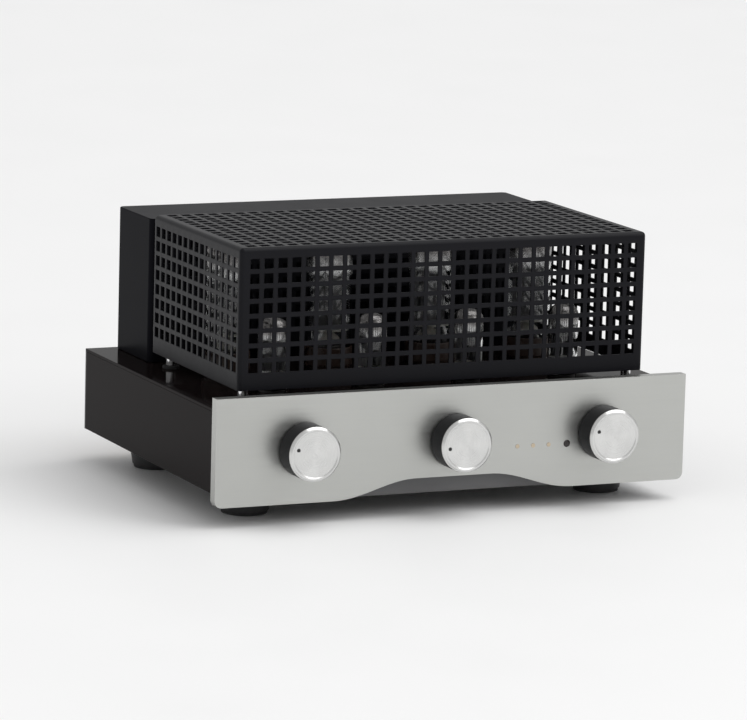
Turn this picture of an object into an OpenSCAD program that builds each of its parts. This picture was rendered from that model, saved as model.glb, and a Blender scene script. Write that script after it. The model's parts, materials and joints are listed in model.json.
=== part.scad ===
// Valve integrated amplifier: silver faceplate with an arched lower edge,
// gloss black chassis on four feet, lift-off perforated valve cage and a
// transformer housing along the rear. Front faces -Y, +X is to the right.
// The origin is on the shelf, at the centre of the whole outline.

/* [Faceplate] */
// Width of the faceplate
faceplate_w = 355; // [345:1:370]
// Height of the faceplate
faceplate_h = 75; // [72:1:80]
// Thickness of the faceplate
faceplate_t = 8; // [8:0.5:10]
// Height of the faceplate's lower edge above the shelf
faceplate_lift = 14.5; // [12:0.5:16]
// Radius of the faceplate's lower corners
lower_corner_r = 5; // [2:0.5:8]
// How far the arch rises above the faceplate's lower edge
arch_rise = 12.5; // [6:0.5:14]
// Half width of the level top of the arch
arch_top = 28; // [10:1:40]
// Half width of the arch at the faceplate's lower edge
arch_foot = 90; // [70:1:110]

/* [Chassis] */
// Width of the chassis
chassis_w = 351; // [345:1:355]
// Depth from the faceplate's front to the rear panel
chassis_d = 254; // [250:1:270]
// Height of the chassis box
chassis_h = 58.5; // [56:0.5:64]
// Thickness of the chassis sheets
sheet_t = 2; // [1.5:0.25:2.5]
// Height of the feet
foot_h = 22.5; // [20:0.5:26]
// Diameter of the feet
foot_d = 40; // [36:1:44]
// Sideways distance of the feet from the middle
foot_x = 135; // [120:1:145]
// Distance of the front feet from the faceplate's front
front_foot_set = 50; // [40:1:70]
// Distance of the rear feet from the faceplate's front
rear_foot_set = 215; // [190:1:225]

/* [Controls] */
// Diameter of the knobs
knob_d = 38; // [34:1:42]
// Length of the knobs
knob_l = 20; // [18:0.5:24]
// Distance between neighbouring knobs
knob_pitch = 113; // [105:1:118]
// Diameter of the control shafts
shaft_d = 6; // [6:0.1:6.4]
// Dial angle of the power knob's pointer, clockwise from the top
power_pointer = -74; // [-90:1:0]
// Dial angle of the volume knob's pointer, clockwise from the top
volume_pointer = -98; // [-150:1:150]
// Dial angle of the selector knob's pointer, clockwise from the top
selector_pointer = -72; // [-90:1:90]

/* [Cage] */
// Width of the cage
cage_w = 307; // [300:1:320]
// Depth of the cage
cage_d = 160; // [156:1:162]
// Height of the cage
cage_h = 98; // [96:1:104]
// Gap between the top plate and the cage
cage_gap = 9; // [6:0.5:12]
// Thickness of the cage sheet
cage_t = 1.2; // [1:0.1:1.6]
// Side of the square perforations
hole = 7; // [5:0.5:7.5]
// Distance between neighbouring perforations
hole_pitch = 10.2; // [10:0.1:10.3]

/* [Valves] */
// Sideways distance between neighbouring power valves
power_pitch = 78; // [70:1:78]
// Sideways distance between neighbouring signal valves
signal_pitch = 74; // [60:1:78]
// Radius of a power valve's glass
power_glass_r = 16; // [15:0.5:16]
// Height of a power valve above its socket
power_valve_h = 98; // [90:1:100]
// Radius of a signal valve's glass
signal_glass_r = 10.7; // [10:0.1:11]
// Height of a signal valve above its socket
signal_valve_h = 50; // [45:1:56]

/* [Transformer housing] */
// Depth of the transformer cover
cover_d = 64; // [60:1:65]
// Height of the transformer cover
cover_h = 103; // [98:1:106]
// Thickness of the transformer cover's sheet
cover_t = 1.5; // [1:0.1:2]

/* [Rear panel] */
// Distance between neighbouring speaker posts
post_pitch = 25; // [22:0.5:26]
// How far the speaker posts stand out of the rear panel
post_reach = 24; // [22:0.5:28]
// Sideways distance between neighbouring phono sockets
phono_pitch = 17; // [16:0.5:18]
// Vertical distance between the two rows of phono sockets
phono_rise = 20; // [18:0.5:22]

/* [Hidden] */
$fn = 64;
over = 1; // how far a cutter runs past the face it leaves

// Depth stations, front to back
knob_gap = 1;
overall_d = knob_gap + knob_l + chassis_d + post_reach;
plate_y = knob_gap + knob_l - overall_d / 2;
plate_back = plate_y + faceplate_t;
front_in = plate_back + sheet_t;
rear_y = plate_y + chassis_d;
rear_in = rear_y - sheet_t;

// Height stations
base_z = foot_h;
base_in = base_z + sheet_t;
deck_z = base_z + chassis_h;
deck_in = deck_z - sheet_t;
cage_z = deck_z + cage_gap;
knob_z = faceplate_lift + faceplate_h / 2;
side_x = chassis_w / 2;

// Cage and cover stations
cage_set_back = 21;
cage_x = cage_w / 2;
cage_y0 = plate_y + cage_set_back;
cage_y1 = cage_y0 + cage_d;
cage_columns = floor((cage_w - hole) / hole_pitch);
cage_rows_deep = floor((cage_d - hole) / hole_pitch);
cage_rows_high = 8;
lowest_row = 15.5;
foot_inset = 6.5; // from the inner face of a side wall to the pin's axis
cage_foot_x = cage_x - cage_t - foot_inset;
cage_foot_y = [for (set_back = [10, 142]) cage_y0 + set_back];
cage_foot_r = 2;
bush_lip_h = 2; // thickness of a bush's lip above and below the top plate
cover_gap = 5.5;
cover_y0 = cage_y1 + cover_gap;
cover_corner_r = 4;
output_x = 101; // sideways distance of an output transformer from the middle

// Valves
power_set_back = 132;
signal_set_back = 62;
power_y = plate_y + power_set_back;
signal_y = plate_y + signal_set_back;
socket_top = deck_z + 2;
power_hole_r = 14.3;
signal_hole_r = 9.6;
power_base_r = 17;
power_base_h = 15;
glass_t = 1.2;
power_dome = 13;
signal_dome = 8;
mica_play = 0.3; // between a disc and the glass around it

// Controls
bush_r = 4.5;
bush_reach = 4.5;
nut_r = 6.4;
nut_t = 2.5;
shaft_tail = 9; // how far a shaft runs behind the sub-front
plate_hole_r = 7.5;
shaft_play = 0.05;
socket_depth = 15; // of the shaft's hole in a knob
led_x = [48, 60, 72];
led_r = 1.5;
ir_x = 86;
ir_r = 2.5;
led_z = knob_z - 7;
fit = 0.05;

// Feet
pad_h = 2.5;
pad_inset = 4;
pad_hole_r = 8;
ring_low = 12;
ring_h = 5;
ring_t = 2;
ring_proud = 0.5;
foot_screw_r = 2.5;
foot_head_r = 4.5;
foot_head_h = 4;
foot_head_z = 5;
foot_pocket_r = 7;

// Boards
board_t = 1.6;
front_board_y = front_in + 7;
front_board_x = [41, 95];
main_board_z = base_in + 8;
main_board_x = 110;
main_board_y = [-50, 106];

// Fasteners
screw_r = 2;
screw_head_r = 3.6;
screw_head_h = 2;
post_w = 10;
post_x = side_x - sheet_t - post_w / 2;
post_y = [front_in + post_w / 2, rear_in - post_w / 2];
rear_screw_z = [base_z + 17, deck_z - 13];
plate_screw_x = 150;
plate_screw_z = [base_z + 14, deck_z - 11];

// Rear connectors
speaker_x = [for (i = [0 : 5]) -40 + i * post_pitch];
speaker_z = 52;
stud_r = 3;
banana_r = 2.05;
insulator_t = 3;
insulator_neck_r = 5;
collar_y = rear_y + insulator_t;
collar_t = 4;
cap_y = collar_y + collar_t + 0.4;
phono_x = [for (i = [0 : 4]) -150 + i * phono_pitch];
phono_z = [for (i = [0 : 1]) 52 + (i - 0.5) * phono_rise];
phono_r = 4.15;
phono_bore_r = 3.3;
phono_reach = 11;
inlet_x = 130;
inlet_z = 52;
inlet_w = 28;
inlet_h = 37;
inlet_play = 0.4;
inlet_depth = 24;
cavity_depth = 16;
inlet_cavity_w = 24.6;
inlet_cavity_h = 16.4;
inlet_cavity_z = 45;
drawer_z = 62.5;
drawer_w = 24;
drawer_h = 9;
drawer_play = 0.35;
flange_t = 2.5;
pin_at = [[-7, 42], [7, 42], [0, 48]];

// Places of n things at one pitch, centred on zero
function centred(n, pitch) = [for (i = [0 : n - 1]) (i - (n - 1) / 2) * pitch];

// Height of the arch above the faceplate's lower edge, at x
function arch(x) =
    abs(x) <= arch_top ? arch_rise
    : arch_rise * (0.5 + 0.5 * cos(180 * (abs(x) - arch_top) / (arch_foot - arch_top)));

// Half outline of a domed bulb, from its axis at the bottom round to its tip
function bulb(r, low, high, dome) = concat(
    [[0, low], [r, low]],
    [for (a = [0 : 10 : 80]) [r * cos(a), high - dome + dome * sin(a)]],
    [[0, high]]);

// A flat shape drawn in X and Z, t thick from y0 towards the rear
module slab_xz(y0, t) {
    translate([0, y0 + t, 0])
        rotate([90, 0, 0])
            linear_extrude(t)
                children();
}

// A flat shape drawn in Y and Z, t thick from x0 to the right
module slab_yz(x0, t) {
    translate([x0, 0, 0])
        rotate([90, 0, 90])
            linear_extrude(t)
                children();
}

// A shape turned about Z, laid along Y so that its top points to the rear
module facing_rear(x, y, z) {
    translate([x, y, z])
        rotate([-90, 0, 0])
            children();
}

// A shape turned about Z, laid along Y so that its top points to the front
module facing_front(x, y, z) {
    translate([x, y, z])
        rotate([90, 0, 0])
            children();
}

module rounded_rect(w, h, r) {
    square([w - 2 * r, h], center = true);
    square([w, h - 2 * r], center = true);
    for (sx = [-1, 1], sy = [-1, 1])
        translate([sx * (w / 2 - r), sy * (h / 2 - r)])
            circle(r);
}

module tube(r_out, r_in, h) {
    difference() {
        cylinder(r = r_out, h = h);
        translate([0, 0, -over])
            cylinder(r = r_in, h = h + 2 * over);
    }
}

// ---- Case ----

module faceplate_outline() {
    translate([0, faceplate_lift + faceplate_h / 2])
        rounded_rect(faceplate_w, faceplate_h, lower_corner_r);
    translate([-faceplate_w / 2, faceplate_lift + faceplate_h / 2])
        square([faceplate_w, faceplate_h / 2]);
}

module arch_cutter() {
    step = 5;
    translate([0, faceplate_lift])
        polygon(concat(
            [[-arch_foot, -over]],
            [for (x = [-arch_foot : step : arch_foot]) [x, arch(x)]],
            [[arch_foot, -over]]));
}

module control_holes(shaft_r, lens_r, window_r) {
    for (x = centred(3, knob_pitch))
        translate([x, knob_z])
            circle(shaft_r);
    for (x = led_x)
        translate([x, led_z])
            circle(lens_r);
    translate([ir_x, led_z])
        circle(window_r);
}

module faceplate() {
    blind_depth = 6;
    color("silver")
        difference() {
            slab_xz(plate_y, faceplate_t)
                difference() {
                    faceplate_outline();
                    arch_cutter();
                    control_holes(plate_hole_r, led_r + fit, ir_r + fit);
                }
            for (x = [-plate_screw_x, plate_screw_x], z = plate_screw_z)
                facing_rear(x, plate_back - blind_depth, z)
                    cylinder(r = screw_r + fit, h = blind_depth + over);
        }
}

module sub_front() {
    lip = 0.5;
    color("dimgray")
        slab_xz(plate_back, sheet_t)
            difference() {
                translate([-side_x, faceplate_lift + lip])
                    square([chassis_w, deck_in - faceplate_lift - lip]);
                control_holes(bush_r + fit, led_r + 2 * fit, ir_r);
                for (x = [-plate_screw_x, plate_screw_x], z = plate_screw_z)
                    translate([x, z])
                        circle(screw_r + 2 * fit);
            }
}

module top_plate() {
    lead_slot = [24, 8];
    lead_pitch = 100;
    lead_inset = 12;
    bush_neck_r = cage_foot_r + 2;
    color("#1c1a1b")
        translate([0, 0, deck_in])
            linear_extrude(sheet_t)
                difference() {
                    translate([-side_x, plate_back])
                        square([chassis_w, rear_y - plate_back]);
                    for (x = centred(4, power_pitch))
                        translate([x, power_y])
                            circle(power_hole_r);
                    for (x = centred(4, signal_pitch))
                        translate([x, signal_y])
                            circle(signal_hole_r);
                    for (sx = [-1, 1], y = cage_foot_y)
                        translate([sx * cage_foot_x, y])
                            circle(bush_neck_r + fit);
                    for (x = centred(3, lead_pitch))
                        translate([x, rear_y - lead_inset])
                            square(lead_slot, center = true);
                }
}

module side_sheet(x0) {
    color("#1c1a1b")
        slab_yz(x0, sheet_t)
            translate([front_in, base_z])
                square([rear_in - front_in, deck_in - base_z]);
}

module left_side() {
    side_sheet(-side_x);
}

module right_side() {
    side_sheet(side_x - sheet_t);
}

module rear_panel() {
    color("#222021")
        slab_xz(rear_in, sheet_t)
            difference() {
                translate([-side_x, base_z])
                    square([chassis_w, deck_in - base_z]);
                for (x = speaker_x)
                    translate([x, speaker_z])
                        circle(insulator_neck_r + fit);
                for (x = phono_x, z = phono_z)
                    translate([x, z])
                        circle(phono_r + fit);
                translate([inlet_x, inlet_z])
                    square([inlet_w + inlet_play, inlet_h + inlet_play], center = true);
                for (sx = [-1, 1], z = rear_screw_z)
                    translate([sx * post_x, z])
                        circle(screw_r + 2 * fit);
            }
}

module vent_slot(l, w) {
    square([w, l - w], center = true);
    for (s = [-1, 1])
        translate([0, s * (l - w) / 2])
            circle(w / 2);
}

module base_plate() {
    vents = 16;
    vent_pitch = 12;
    vent = [40, 4];
    color("#2a2a2c")
        translate([0, 0, base_z])
            linear_extrude(sheet_t)
                difference() {
                    translate([-side_x + sheet_t, front_in])
                        square([chassis_w - 2 * sheet_t, rear_in - front_in]);
                    for (x = centred(vents, vent_pitch), y = [signal_y, power_y])
                        translate([x, y])
                            vent_slot(vent[0], vent[1]);
                    for (x = [-post_x, post_x], y = post_y)
                        translate([x, y])
                            circle(screw_r + 2 * fit);
                    for (x = [-foot_x, foot_x], y = [front_foot_set, rear_foot_set])
                        translate([x, plate_y + y])
                            circle(foot_screw_r + fit);
                }
}

module corner_posts() {
    thread_depth = 12;
    rear_thread_depth = 8;
    color("lightgray")
        for (sx = [-1, 1], i = [0, 1])
            difference() {
                translate([sx * post_x - post_w / 2, post_y[i] - post_w / 2, base_in])
                    cube([post_w, post_w, deck_in - base_in]);
                translate([sx * post_x, post_y[i], base_in - over])
                    cylinder(r = screw_r + fit, h = thread_depth + over);
                if (i == 1)
                    for (z = rear_screw_z)
                        facing_rear(sx * post_x, rear_in - rear_thread_depth, z)
                            cylinder(r = screw_r + fit, h = rear_thread_depth + over);
            }
}

module pan_screw(l) {
    hex_depth = 1;
    cylinder(r = screw_r, h = l);
    translate([0, 0, l])
        difference() {
            cylinder(r = screw_head_r, h = screw_head_h);
            translate([0, 0, screw_head_h - hex_depth])
                cylinder(r = 1.4, h = hex_depth + over, $fn = 6);
        }
}

module case_screws() {
    base_l = 10;
    rear_l = 9;
    front_l = 7;
    color("darkgray") {
        for (x = [-post_x, post_x], y = post_y)
            translate([x, y, base_z + base_l])
                rotate([180, 0, 0])
                    pan_screw(base_l);
        for (x = [-post_x, post_x], z = rear_screw_z)
            facing_rear(x, rear_y - rear_l, z)
                pan_screw(rear_l);
        for (x = [-plate_screw_x, plate_screw_x], z = plate_screw_z)
            facing_rear(x, front_in - front_l, z)
                pan_screw(front_l);
    }
}

// ---- Feet ----

module at_feet() {
    for (x = [-foot_x, foot_x], y = [front_foot_set, rear_foot_set])
        translate([x, plate_y + y, 0])
            children();
}

module foot_bodies() {
    r = foot_d / 2;
    toe_inset = 3;
    waist_inset = 1.5;
    color("#232325")
        at_feet()
            rotate_extrude()
                difference() {
                    polygon([
                        [0, pad_h], [r - toe_inset, pad_h], [r - waist_inset, ring_low],
                        [r - ring_t, ring_low], [r - ring_t, ring_low + ring_h],
                        [r, ring_low + ring_h], [r, foot_h], [0, foot_h]]);
                    square([foot_screw_r + fit, foot_h + over]);
                    square([foot_pocket_r, foot_head_z + foot_head_h]);
                }
}

module foot_rings() {
    r = foot_d / 2;
    color("gainsboro")
        at_feet()
            translate([0, 0, ring_low])
                tube(r + ring_proud, r - ring_t, ring_h);
}

module foot_pads() {
    color("black")
        at_feet()
            tube(foot_d / 2 - pad_inset, pad_hole_r, pad_h);
}

module foot_screws() {
    hex_depth = 2.5;
    end_z = base_in + 3;
    color("darkgray")
        at_feet()
            translate([0, 0, foot_head_z]) {
                translate([0, 0, foot_head_h])
                    cylinder(r = foot_screw_r, h = end_z - foot_head_z - foot_head_h);
                difference() {
                    cylinder(r = foot_head_r, h = foot_head_h);
                    translate([0, 0, -over])
                        cylinder(r = 2, h = hex_depth + over, $fn = 6);
                }
            }
}

// ---- Controls ----

module knob(x, pointer) {
    r = knob_d / 2;
    chamfer = 1.5;
    rim = 1;
    dish_slope = 0.7;
    face_l = knob_l - 0.6;
    nut_room = [plate_hole_r + 2, 4];
    dimple_out = 13;
    dimple = [1.3, 0.8];
    color("gainsboro")
        facing_front(x, plate_y - knob_gap, knob_z)
            difference() {
                rotate_extrude()
                    polygon([
                        [0, 0], [r - 1, 0], [r, 1], [r, knob_l - chamfer], [r - chamfer, knob_l],
                        [r - chamfer - rim, knob_l], [r - chamfer - rim - dish_slope, face_l], [0, face_l]]);
                translate([0, 0, -over])
                    cylinder(r = shaft_d / 2, h = socket_depth + over);
                translate([0, 0, -over])
                    cylinder(r = nut_room[0], h = nut_room[1] + over);
                rotate([0, 0, -pointer])
                    translate([0, dimple_out, face_l - dimple[1]])
                        cylinder(r = dimple[0], h = dimple[1] + over);
            }
}

module power_knob() {
    knob(-knob_pitch, power_pointer);
}

module volume_knob() {
    knob(0, volume_pointer);
}

module selector_knob() {
    knob(knob_pitch, selector_pointer);
}

module shaft(x) {
    end_gap = 0.5;
    run = shaft_tail + sheet_t + faceplate_t + knob_gap + socket_depth - end_gap;
    color("silver")
        facing_front(x, front_in + shaft_tail, knob_z)
            cylinder(r = shaft_d / 2, h = run);
}

module power_shaft() {
    shaft(-knob_pitch);
}

module volume_shaft() {
    shaft(0);
}

module selector_shaft() {
    shaft(knob_pitch);
}

// Threaded bush at y = 0, with the body drawn behind it as a child
module control_body(x) {
    end_gap = 0.5;
    difference() {
        union() {
            children();
            facing_front(x, front_in, knob_z)
                cylinder(r = bush_r, h = sheet_t + bush_reach);
        }
        facing_front(x, front_in + shaft_tail + end_gap, knob_z)
            cylinder(r = shaft_d / 2 + shaft_play, h = shaft_tail + end_gap + sheet_t + bush_reach + over);
    }
}

module power_switch() {
    w = 30;
    d = 28;
    color("#303034")
        control_body(-knob_pitch)
            translate([-knob_pitch - w / 2, front_in, knob_z - w / 2])
                cube([w, d, w]);
}

module volume_pot() {
    tracks = [13, 22];
    motor = [11, 14];
    color("#8b8f96")
        control_body(0) {
            facing_rear(0, front_in, knob_z)
                cylinder(r = tracks[0], h = tracks[1]);
            facing_rear(0, front_in + tracks[1], knob_z)
                cylinder(r = motor[0], h = motor[1]);
        }
}

module selector_switch() {
    head = [14, 12];
    spindle = [4, 24];
    wafer = [16, 2];
    wafer_pitch = 9;
    color("#c9b48a")
        control_body(knob_pitch) {
            facing_rear(knob_pitch, front_in, knob_z)
                cylinder(r = head[0], h = head[1]);
            for (i = [0 : 2])
                facing_rear(knob_pitch, front_in + head[1] + wafer[1] + i * wafer_pitch, knob_z)
                    cylinder(r = wafer[0], h = wafer[1]);
            facing_rear(knob_pitch, front_in + head[1], knob_z)
                cylinder(r = spindle[0], h = spindle[1]);
        }
}

module shaft_nuts() {
    color("silver")
        for (x = centred(3, knob_pitch))
            facing_front(x, plate_back, knob_z)
                difference() {
                    cylinder(r = nut_r, h = nut_t, $fn = 6);
                    translate([0, 0, -over])
                        cylinder(r = bush_r + fit, h = nut_t + 2 * over);
                }
}

// ---- Indicators and boards ----

module indicator_leds() {
    proud = 0.2;
    color("orange")
        for (x = led_x)
            facing_rear(x, plate_y - proud, led_z)
                cylinder(r = led_r, h = front_board_y - plate_y + proud);
}

module ir_window() {
    window_t = 2.5;
    color("#301010")
        facing_rear(ir_x, plate_y, led_z)
            cylinder(r = ir_r, h = window_t);
}

module front_board() {
    below_leds = 10;
    board_h = 22;
    color("darkgreen")
        slab_xz(front_board_y, board_t)
            translate([front_board_x[0], led_z - below_leds])
                square([front_board_x[1] - front_board_x[0], board_h]);
}

module main_board() {
    color("darkgreen")
        translate([-main_board_x, main_board_y[0], main_board_z])
            cube([2 * main_board_x, main_board_y[1] - main_board_y[0], board_t]);
}

module board_standoffs() {
    inset = 6;
    front_inset = 4;
    above_leds = 8;
    color("goldenrod") {
        for (sx = [-1, 1], y = [main_board_y[0] + inset, main_board_y[1] - inset])
            translate([sx * (main_board_x - inset), y, base_in])
                cylinder(r = 3, h = main_board_z - base_in, $fn = 6);
        for (x = [front_board_x[0] + front_inset, front_board_x[1] - front_inset])
            facing_rear(x, front_in, led_z + above_leds)
                cylinder(r = 2.5, h = front_board_y - front_in, $fn = 6);
    }
}

module filter_capacitors() {
    pitch = 46;
    set_back = 210.5;
    can = [15, 40];
    vent = [12, 0.6];
    color("#20283c")
        for (x = centred(4, pitch))
            translate([x, plate_y + set_back, main_board_z + board_t]) {
                cylinder(r = can[0], h = can[1]);
                translate([0, 0, can[1]])
                    cylinder(r = vent[0], h = vent[1]);
            }
}

// ---- Valves ----

module at_power_valves() {
    for (x = centred(4, power_pitch))
        translate([x, power_y, socket_top])
            children();
}

module at_signal_valves() {
    for (x = centred(4, signal_pitch))
        translate([x, signal_y, socket_top])
            children();
}

module glass_bulb(r, low, high, dome) {
    rotate_extrude()
        difference() {
            polygon(bulb(r, low, high, dome));
            polygon(bulb(r - glass_t, low + glass_t, high - glass_t, dome));
        }
}

module power_valves() {
    color("lightcyan", 0.4)
        at_power_valves()
            glass_bulb(power_glass_r, power_base_h, power_valve_h, power_dome);
}

module power_valve_bases() {
    step = [1, 2];
    color("#3a2a20")
        at_power_valves() {
            cylinder(r = power_base_r - step[0], h = step[1]);
            translate([0, 0, step[1]])
                cylinder(r = power_base_r, h = power_base_h - step[1]);
        }
}

module power_valve_plates() {
    anode = [24, 14, 6];
    anode_t = 0.8;
    anode_h = 50;
    mica_t = 1;
    low = power_base_h + 12;
    color("#55585c")
        at_power_valves() {
            translate([0, 0, low])
                linear_extrude(anode_h)
                    difference() {
                        rounded_rect(anode[0], anode[1], anode[2]);
                        rounded_rect(anode[0] - 2 * anode_t, anode[1] - 2 * anode_t, anode[2] - anode_t);
                    }
            for (z = [low - mica_t, low + anode_h])
                translate([0, 0, z])
                    cylinder(r = power_glass_r - glass_t - mica_play, h = mica_t);
        }
}

module socket(r_low, r_neck, depth) {
    translate([0, 0, deck_in - depth])
        cylinder(r = r_low, h = depth);
    translate([0, 0, deck_in])
        cylinder(r = r_neck, h = socket_top - deck_in);
}

module power_sockets() {
    flange = 3;
    depth = 13;
    color("#2b2522")
        for (x = centred(4, power_pitch))
            translate([x, power_y, 0])
                socket(power_hole_r + flange, power_hole_r - fit, depth);
}

module signal_valves() {
    color("lightcyan", 0.4)
        at_signal_valves()
            glass_bulb(signal_glass_r, 0, signal_valve_h, signal_dome);
}

module signal_valve_plates() {
    anode = [3.6, 22];
    anode_x = 4.6;
    mica_t = 1;
    low = 12;
    color("#6a6d70")
        at_signal_valves() {
            for (sx = [-1, 1])
                translate([sx * anode_x, 0, low])
                    cylinder(r = anode[0], h = anode[1]);
            for (z = [low - mica_t, low + anode[1]])
                translate([0, 0, z])
                    cylinder(r = signal_glass_r - glass_t - mica_play, h = mica_t);
        }
}

module signal_sockets() {
    flange = 2;
    depth = 10;
    color("#2b2522")
        for (x = centred(4, signal_pitch))
            translate([x, signal_y, 0])
                socket(signal_hole_r + flange, signal_hole_r - fit, depth);
}

// ---- Cage ----

// A sheet w by h with nx by ny square perforations, the first row at low
module perforated(w, h, nx, ny, low) {
    difference() {
        translate([-w / 2, 0])
            square([w, h]);
        for (x = centred(nx, hole_pitch), j = [0 : ny - 1])
            translate([x - hole / 2, low + j * hole_pitch - hole / 2])
                square(hole);
    }
}

module cage_wall_xz(y0) {
    color("#17171a")
        translate([0, 0, cage_z])
            slab_xz(y0, cage_t)
                perforated(cage_w, cage_h - cage_t, cage_columns, cage_rows_high, lowest_row);
}

module cage_wall_yz(x0) {
    color("#17171a")
        translate([0, (cage_y0 + cage_y1) / 2, cage_z])
            slab_yz(x0, cage_t)
                perforated(cage_d - 2 * cage_t, cage_h - cage_t, cage_rows_deep, cage_rows_high, lowest_row);
}

module cage_front() {
    cage_wall_xz(cage_y0);
}

module cage_rear() {
    cage_wall_xz(cage_y1 - cage_t);
}

module cage_left() {
    cage_wall_yz(-cage_x);
}

module cage_right() {
    cage_wall_yz(cage_x - cage_t);
}

module cage_top() {
    first = (cage_d - (cage_rows_deep - 1) * hole_pitch) / 2;
    color("#17171a")
        translate([0, cage_y0, cage_z + cage_h - cage_t])
            linear_extrude(cage_t)
                perforated(cage_w, cage_d, cage_columns, cage_rows_deep, first);
}

module at_cage_feet() {
    for (sx = [-1, 1], y = cage_foot_y)
        translate([sx * cage_foot_x, y, 0])
            children();
}

module cage_feet() {
    tab = [2 * foot_inset, 2 * foot_inset, 1.5];
    shoulder_r = cage_foot_r + 1.5;
    shoulder_z = deck_z + bush_lip_h + 0.3;
    tip_z = deck_in - 3;
    color("gainsboro")
        at_cage_feet() {
            translate([-tab[0] / 2, -tab[1] / 2, cage_z])
                cube(tab);
            translate([0, 0, shoulder_z])
                cylinder(r = shoulder_r, h = cage_z - shoulder_z);
            translate([0, 0, tip_z])
                cylinder(r = cage_foot_r, h = shoulder_z - tip_z + 0.7);
        }
}

module cage_bushes() {
    lip = cage_foot_r + 4;
    neck = cage_foot_r + 2;
    barb = cage_foot_r + 3.5;
    color("black")
        at_cage_feet()
            difference() {
                union() {
                    translate([0, 0, deck_in])
                        cylinder(r = neck, h = sheet_t);
                    translate([0, 0, deck_z])
                        cylinder(r = lip, h = bush_lip_h);
                    translate([0, 0, deck_in - bush_lip_h])
                        cylinder(r = barb, h = bush_lip_h);
                }
                translate([0, 0, deck_in - bush_lip_h - over])
                    cylinder(r = cage_foot_r + shaft_play, h = sheet_t + 2 * bush_lip_h + 2 * over);
            }
}

// ---- Transformers ----

module transformer_cover() {
    w = cage_w;
    color("#1a1a1c")
        translate([0, cover_y0 + cover_d / 2, deck_z])
            difference() {
                linear_extrude(cover_h)
                    rounded_rect(w, cover_d, cover_corner_r);
                translate([0, 0, -over])
                    linear_extrude(cover_h - cover_t + over)
                        rounded_rect(w - 2 * cover_t, cover_d - 2 * cover_t, cover_corner_r - cover_t);
            }
}

// Laminated core w wide, d deep and h high, with its coil through the window
module transformer(x, w, d, h) {
    limb = w / 6;
    coil = [0.66 * w, d + 8];
    coil_corner_r = 4;
    color("#4a4c50")
        translate([x, cover_y0 + cover_d / 2, deck_z]) {
            translate([0, d / 2, 0])
                rotate([90, 0, 0])
                    linear_extrude(d)
                        difference() {
                            translate([-w / 2, 0])
                                square([w, h]);
                            for (s = [-1, 1])
                                translate([s * w / 4 - limb / 2, limb])
                                    square([limb, h - 2 * limb]);
                        }
            translate([0, 0, limb])
                linear_extrude(h - 2 * limb)
                    rounded_rect(coil[0], coil[1], coil_corner_r);
        }
}

module power_transformer() {
    transformer(0, 102, 44, 88);
}

module output_transformer(x) {
    transformer(x, 84, 42, 72);
}

module left_output_transformer() {
    output_transformer(-output_x);
}

module right_output_transformer() {
    output_transformer(output_x);
}

// ---- Rear connectors ----

module speaker_cap(i) {
    l = rear_y + post_reach - cap_y;
    r = 7.5;
    chamfer = 1.5;
    flutes = 12;
    flute_r = 1.1;
    flute_out = r + 0.5;
    flute_low = 2;
    flute_l = l - 4.5;
    color(i % 3 == 0 ? "black" : "firebrick")
        facing_rear(speaker_x[i], cap_y, speaker_z)
            difference() {
                rotate_extrude()
                    polygon([
                        [stud_r + shaft_play, 0], [r - 1, 0], [r, 1],
                        [r, l - chamfer], [r - chamfer, l], [stud_r + shaft_play, l]]);
                for (k = [0 : flutes - 1])
                    rotate([0, 0, k * 360 / flutes])
                        translate([flute_out, 0, flute_low])
                            cylinder(r = flute_r, h = flute_l, $fn = 16);
            }
}

module speaker_cap_1() {
    speaker_cap(0);
}

module speaker_cap_2() {
    speaker_cap(1);
}

module speaker_cap_3() {
    speaker_cap(2);
}

module speaker_cap_4() {
    speaker_cap(3);
}

module speaker_cap_5() {
    speaker_cap(4);
}

module speaker_cap_6() {
    speaker_cap(5);
}

module speaker_posts() {
    tail = 12;
    panel = tail + sheet_t;
    collar_r = 6.5;
    end_inset = 0.5;
    plug_bottom = 6;
    color("gold")
        for (x = speaker_x)
            facing_rear(x, rear_in - tail, speaker_z)
                difference() {
                    union() {
                        cylinder(r = stud_r, h = panel + post_reach - end_inset);
                        translate([0, 0, panel + insulator_t])
                            cylinder(r = collar_r, h = collar_t);
                    }
                    translate([0, 0, panel + plug_bottom])
                        cylinder(r = banana_r, h = post_reach);
                }
}

module speaker_insulators() {
    inner = [8, 2];
    outer_r = 9;
    whole_t = inner[1] + sheet_t + insulator_t;
    color("#111111")
        for (x = speaker_x)
            facing_rear(x, rear_in - inner[1], speaker_z)
                difference() {
                    union() {
                        cylinder(r = inner[0], h = inner[1]);
                        cylinder(r = insulator_neck_r, h = whole_t);
                        translate([0, 0, inner[1] + sheet_t])
                            cylinder(r = outer_r, h = insulator_t);
                    }
                    translate([0, 0, -over])
                        cylinder(r = stud_r, h = whole_t + 2 * over);
                }
}

module phono_sockets() {
    tail = 6;
    washer = [6.2, 2];
    nut = [6, 2];
    color("gold")
        for (x = phono_x, z = phono_z)
            facing_rear(x, rear_in - tail, z)
                difference() {
                    union() {
                        cylinder(r = phono_r, h = tail + sheet_t + phono_reach);
                        translate([0, 0, tail + sheet_t])
                            cylinder(r = washer[0], h = washer[1]);
                        translate([0, 0, tail - nut[1]])
                            cylinder(r = nut[0], h = nut[1], $fn = 6);
                    }
                    translate([0, 0, -over])
                        cylinder(r = phono_bore_r, h = tail + sheet_t + phono_reach + 2 * over);
                }
}

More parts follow.
